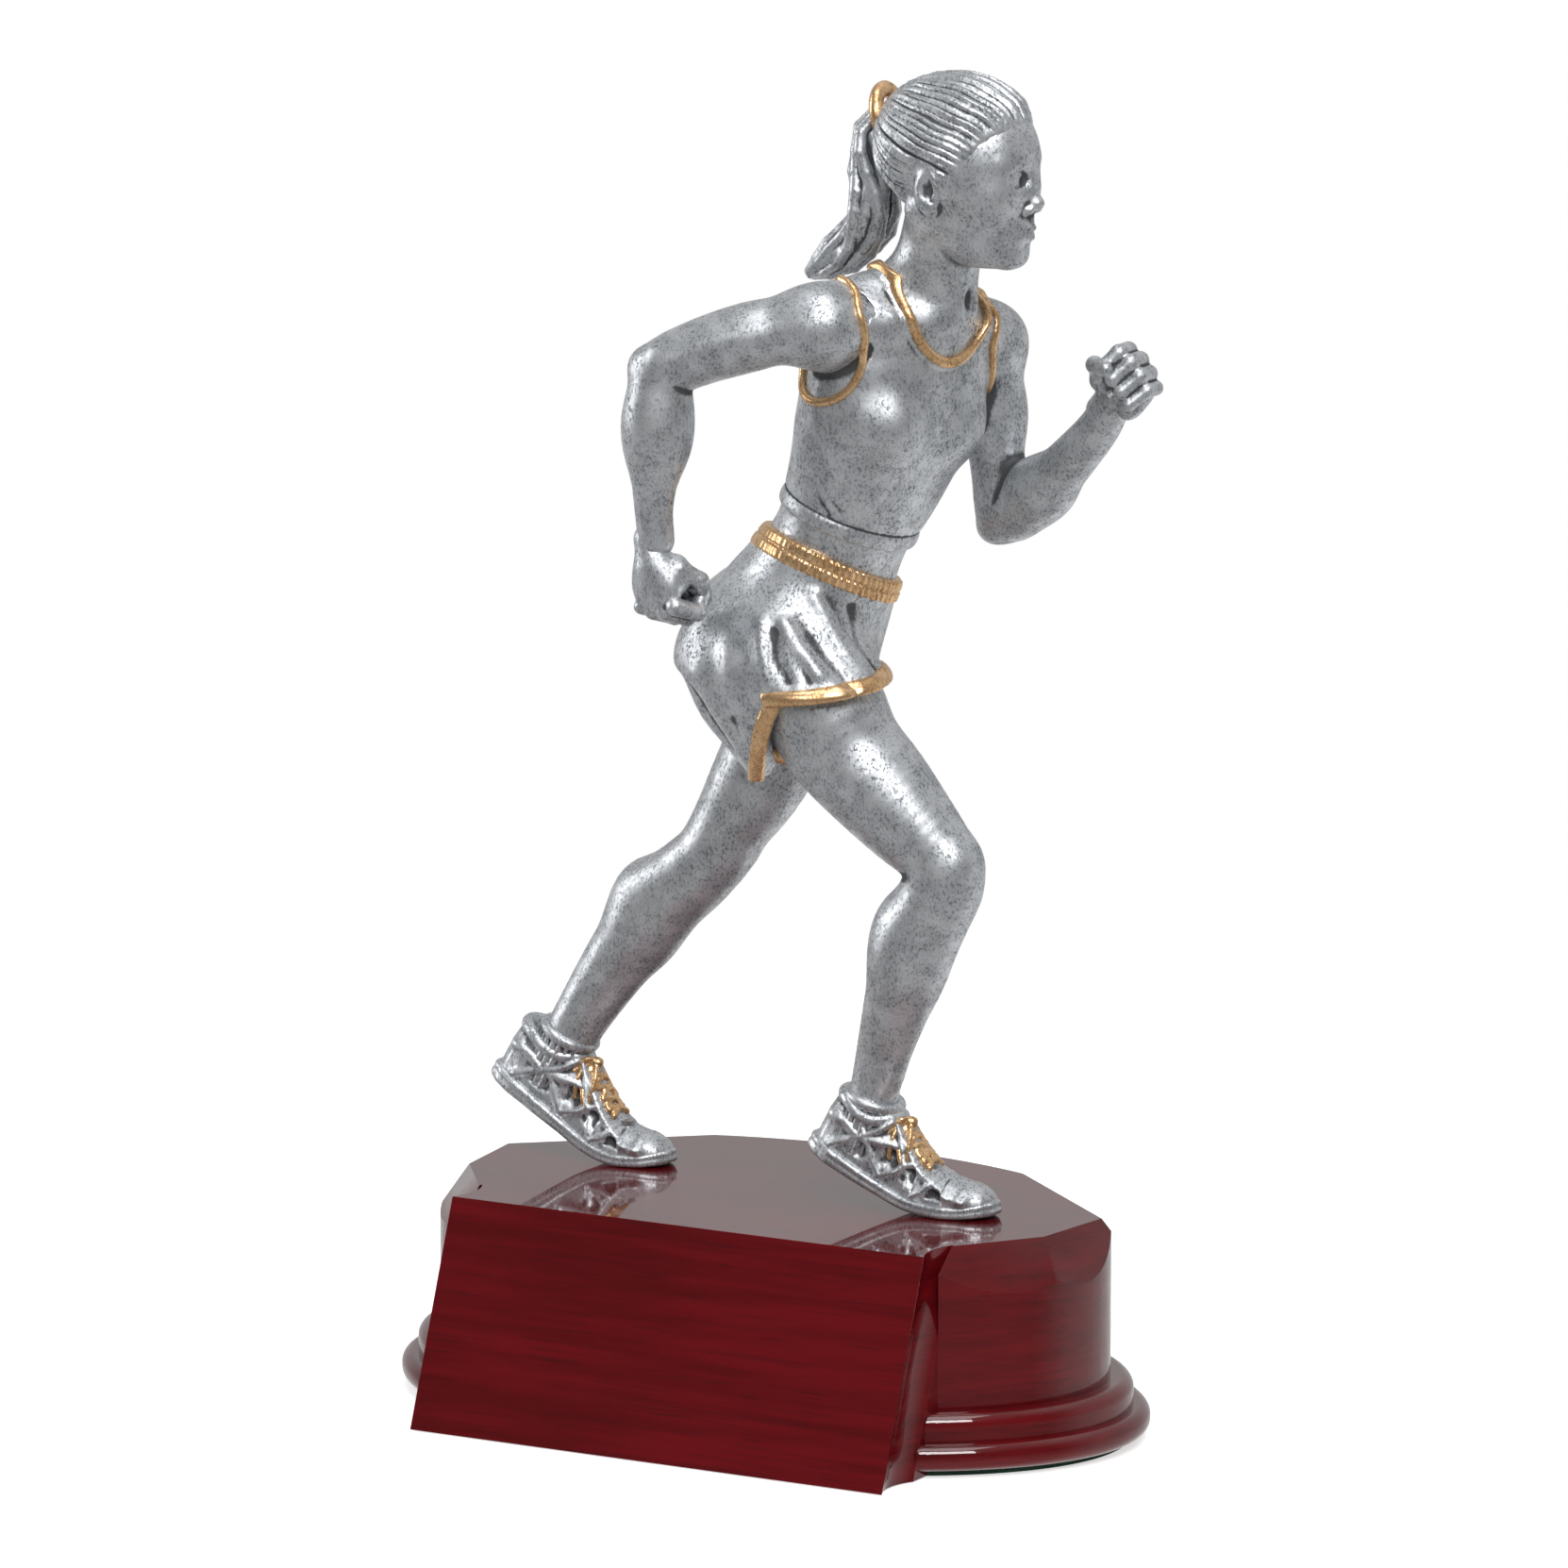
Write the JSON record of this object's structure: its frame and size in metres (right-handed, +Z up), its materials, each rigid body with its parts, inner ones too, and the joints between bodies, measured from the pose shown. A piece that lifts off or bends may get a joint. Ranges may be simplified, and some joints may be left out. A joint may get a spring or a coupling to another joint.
{
  "type": "figure trophy",
  "caption": "Award trophy: silver-painted female runner in mid-stride with gold trim, bolted to a lacquered rosewood oval base with a sloping front face for a plate.",
  "frame": {"origin": "centre of the base's footprint, on the surface the trophy stands on", "axes": "+Z up, +X the way the runner faces and the base's long axis, -Y the front face for the engraving plate"},
  "size_m": [0.1244, 0.08, 0.21],
  "materials": {
    "silver_paint": "antique silver paint with a dark wash rubbed into the hollows",
    "gold_paint": "satin gold paint",
    "rosewood_lacquer": "dark red rosewood grain under a mirror-gloss clear lacquer",
    "felt": "black felt",
    "steel": "zinc plated"
  },
  "bodies": {
    "root": {"felt_pad": "felt", "hair": "silver_paint", "hair_tie": "gold_paint", "head": "silver_paint", "left_arm": "silver_paint", "left_armhole_piping": "gold_paint", "left_foot_stud": "steel", "left_hand": "silver_paint", "left_hip_dowel": "steel", "left_laces": "gold_paint", "left_leg": "silver_paint", "left_shoe": "silver_paint", "left_shorts_trim": "gold_paint", "left_shoulder_dowel": "steel", "left_sock": "silver_paint", "left_sole": "silver_paint", "midriff": "silver_paint", "neck_dowel": "steel", "neckline_piping": "gold_paint", "pedestal_body": "rosewood_lacquer", "plaque_block": "rosewood_lacquer", "plinth_moulding": "rosewood_lacquer", "ponytail": "silver_paint", "right_arm": "silver_paint", "right_armhole_piping": "gold_paint", "right_foot_stud": "steel", "right_hand": "silver_paint", "right_hip_dowel": "steel", "right_laces": "gold_paint", "right_leg": "silver_paint", "right_shoe": "silver_paint", "right_shorts_trim": "gold_paint", "right_shoulder_dowel": "steel", "right_sock": "silver_paint", "right_sole": "silver_paint", "shorts": "silver_paint", "singlet": "silver_paint", "stud_nuts": "steel", "stud_washers": "steel", "waist_dowel": "steel", "waistband": "gold_paint"}
  },
  "joints": []
}
